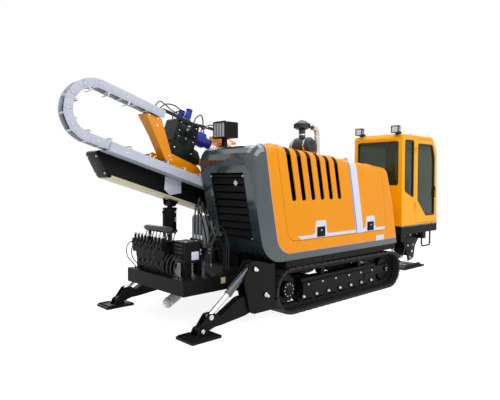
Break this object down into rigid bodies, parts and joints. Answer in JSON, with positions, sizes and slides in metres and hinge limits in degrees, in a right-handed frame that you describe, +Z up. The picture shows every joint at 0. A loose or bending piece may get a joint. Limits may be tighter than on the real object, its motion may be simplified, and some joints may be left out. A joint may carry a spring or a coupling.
{
  "type": "horizontal directional drill",
  "caption": "Tracked horizontal directional drilling rig with engine hood, cab, inclined drill frame with sliding carriage, drag chain, vises and rear legs.",
  "frame": {"origin": "ground level below the middle of the machine's box", "axes": "+X along the machine towards the drilling end, +Y to its left, +Z up"},
  "size_m": [8.0056, 2.488, 3.2286],
  "materials": {
    "yellow_paint": "glossy yellow paint",
    "slate_paint": "dark slate paint",
    "black_paint": "satin black paint",
    "bare_steel": "bare steel",
    "track_steel": "worn dark track steel",
    "pale_grey": "pale grey plastic",
    "blue_paint": "blue paint",
    "tinted_glass": "dark tinted glass",
    "rod_chrome": "hard chrome",
    "hose_rubber": "black rubber",
    "seat_fabric": "dark fabric"
  },
  "bodies": {
    "machine": {"track_right": "track_steel", "track_left": "track_steel", "side_frame_right": "black_paint", "side_frame_left": "black_paint", "chassis": "black_paint", "hood_bezel": "slate_paint", "hood_shell": "yellow_paint", "grille_panel": "black_paint", "engine_block": "slate_paint", "air_cleaner": "black_paint", "exhaust_pipe": "bare_steel", "work_lamp": "black_paint", "cab_base": "slate_paint", "cab_shell": "yellow_paint", "glass_rear": "tinted_glass", "glass_front": "tinted_glass", "glass_quarter": "tinted_glass", "glass_left": "tinted_glass", "seat": "seat_fabric", "console": "black_paint", "cab_lamp_right": "black_paint", "cab_lamp_left": "black_paint", "handrail": "yellow_paint", "step_loop": "black_paint", "valve_bank": "black_paint", "valve_cluster": "black_paint", "canister": "pale_grey", "hydraulic_tank": "slate_paint"},
    "slotted_door": {"hood_door_slotted": "yellow_paint"},
    "plain_door": {"hood_door_plain": "yellow_paint"},
    "door": {"cab_door": "yellow_paint", "glass_door": "tinted_glass"},
    "drill_frame": {"drill_beam": "black_paint", "chain_tray": "pale_grey", "vise_front": "black_paint", "vise_cradle": "black_paint"},
    "lift_cylinder": {"lift_barrel": "black_paint"},
    "lift_piston": {"lift_rod": "rod_chrome"},
    "carriage": {"carriage_saddle": "yellow_paint", "gearbox": "slate_paint", "rotation_motor": "blue_paint", "thrust_motor_right": "blue_paint", "thrust_motor_left": "blue_paint", "chain_arm": "yellow_paint", "hose_bundle": "hose_rubber"},
    "chain": {"drag_chain": "pale_grey"},
    "spindle": {"spindle": "bare_steel"},
    "breakout": {"vise_breakout": "slate_paint"},
    "foot": {"front_foot": "black_paint"},
    "leg_right": {"leg_arm_right": "black_paint"},
    "pad_right": {"leg_pad_right": "black_paint"},
    "leg_cylinder_right": {"leg_barrel_right": "slate_paint"},
    "leg_piston_right": {"leg_rod_right": "rod_chrome"},
    "leg_left": {"leg_arm_left": "black_paint"},
    "pad_left": {"leg_pad_left": "black_paint"},
    "leg_cylinder_left": {"leg_barrel_left": "slate_paint"},
    "leg_piston_left": {"leg_rod_left": "rod_chrome"}
  },
  "joints": [
    {"name": "frame_tilt", "type": "hinge", "parent": "machine", "child": "drill_frame", "pos_m": [1.0428, 0.38, 0.54], "axis": [0, -1, 0], "range_deg": [0, 5]},
    {"name": "lift_barrel_turn", "type": "hinge", "parent": "drill_frame", "child": "lift_cylinder", "pos_m": [-2.2472, 0.38, 1.6], "axis": [0, -1, 0], "range_deg": [0, 3.3]},
    {"name": "lift_rod_slide", "type": "slide", "parent": "lift_cylinder", "child": "lift_piston", "axis": [0, 0, 1], "range_m": [0, 0.29]},
    {"name": "carriage_travel", "type": "slide", "parent": "drill_frame", "child": "carriage", "axis": [0.9542, 0, -0.299], "range_m": [0, 3]},
    {"name": "chain_travel", "type": "slide", "parent": "drill_frame", "child": "chain", "axis": [0.9542, 0, -0.299], "range_m": [0, 1.5]},
    {"name": "spindle_spin", "type": "hinge", "parent": "carriage", "child": "spindle", "pos_m": [-1.75802, 0.38, 2.25438], "axis": [0.9542, 0, -0.299], "continuous": true},
    {"name": "breakout_turn", "type": "hinge", "parent": "drill_frame", "child": "breakout", "pos_m": [2.10665, 0.38, 1.04327], "axis": [0.9542, 0, -0.299], "range_deg": [0, 40]},
    {"name": "front_foot_hinge", "type": "hinge", "parent": "drill_frame", "child": "foot", "pos_m": [2.95602, 0.38, 0.1588], "axis": [0, -1, 0], "range_deg": [-6, 12]},
    {"name": "cab_door_hinge", "type": "hinge", "parent": "machine", "child": "door", "pos_m": [2.3358, -1.167, 1.9], "axis": [0, 0, -1], "range_deg": [0, 90]},
    {"name": "slotted_door_hinge", "type": "hinge", "parent": "machine", "child": "slotted_door", "pos_m": [-0.5572, -0.95, 2.37175], "axis": [-0.9952, 0, 0.0976], "range_deg": [0, 75]},
    {"name": "plain_door_hinge", "type": "hinge", "parent": "machine", "child": "plain_door", "pos_m": [0.7428, -0.95, 2.24429], "axis": [-0.9952, 0, 0.0976], "range_deg": [0, 75]},
    {"name": "leg_right_swing", "type": "hinge", "parent": "machine", "child": "leg_right", "pos_m": [-1.7172, -1.05, 0.386], "axis": [0, 1, 0], "range_deg": [0, 35]},
    {"name": "pad_right_tilt", "type": "hinge", "parent": "leg_right", "child": "pad_right", "pos_m": [-2.7772, -1.05, 0.09], "axis": [0, 1, 0], "range_deg": [-15, 15]},
    {"name": "leg_right_barrel_turn", "type": "hinge", "parent": "machine", "child": "leg_cylinder_right", "pos_m": [-1.9172, -1.05, 0.759], "axis": [0, 1, 0], "range_deg": [0, 39]},
    {"name": "leg_right_rod_slide", "type": "slide", "parent": "leg_cylinder_right", "child": "leg_piston_right", "axis": [0.8046, 0, 0.5938], "range_m": [0, 0.252]},
    {"name": "leg_left_swing", "type": "hinge", "parent": "machine", "child": "leg_left", "pos_m": [-1.7172, 1.05, 0.386], "axis": [0, 1, 0], "range_deg": [0, 35]},
    {"name": "pad_left_tilt", "type": "hinge", "parent": "leg_left", "child": "pad_left", "pos_m": [-2.7772, 1.05, 0.09], "axis": [0, 1, 0], "range_deg": [-15, 15]},
    {"name": "leg_left_barrel_turn", "type": "hinge", "parent": "machine", "child": "leg_cylinder_left", "pos_m": [-1.9172, 1.05, 0.759], "axis": [0, 1, 0], "range_deg": [0, 39]},
    {"name": "leg_left_rod_slide", "type": "slide", "parent": "leg_cylinder_left", "child": "leg_piston_left", "axis": [0.8046, 0, 0.5938], "range_m": [0, 0.252]}
  ],
  "couplings": [
    {"joint": "lift_barrel_turn", "follows": "frame_tilt", "ratio": 0.612},
    {"joint": "lift_rod_slide", "follows": "frame_tilt", "m_per_rad": 3.268},
    {"joint": "chain_travel", "follows": "carriage_travel", "ratio": 0.5},
    {"joint": "leg_right_barrel_turn", "follows": "leg_right_swing", "ratio": 1.1063},
    {"joint": "leg_right_rod_slide", "follows": "leg_right_swing", "m_per_rad": 0.4091},
    {"joint": "leg_left_barrel_turn", "follows": "leg_left_swing", "ratio": 1.1063},
    {"joint": "leg_left_rod_slide", "follows": "leg_left_swing", "m_per_rad": 0.4091}
  ]
}
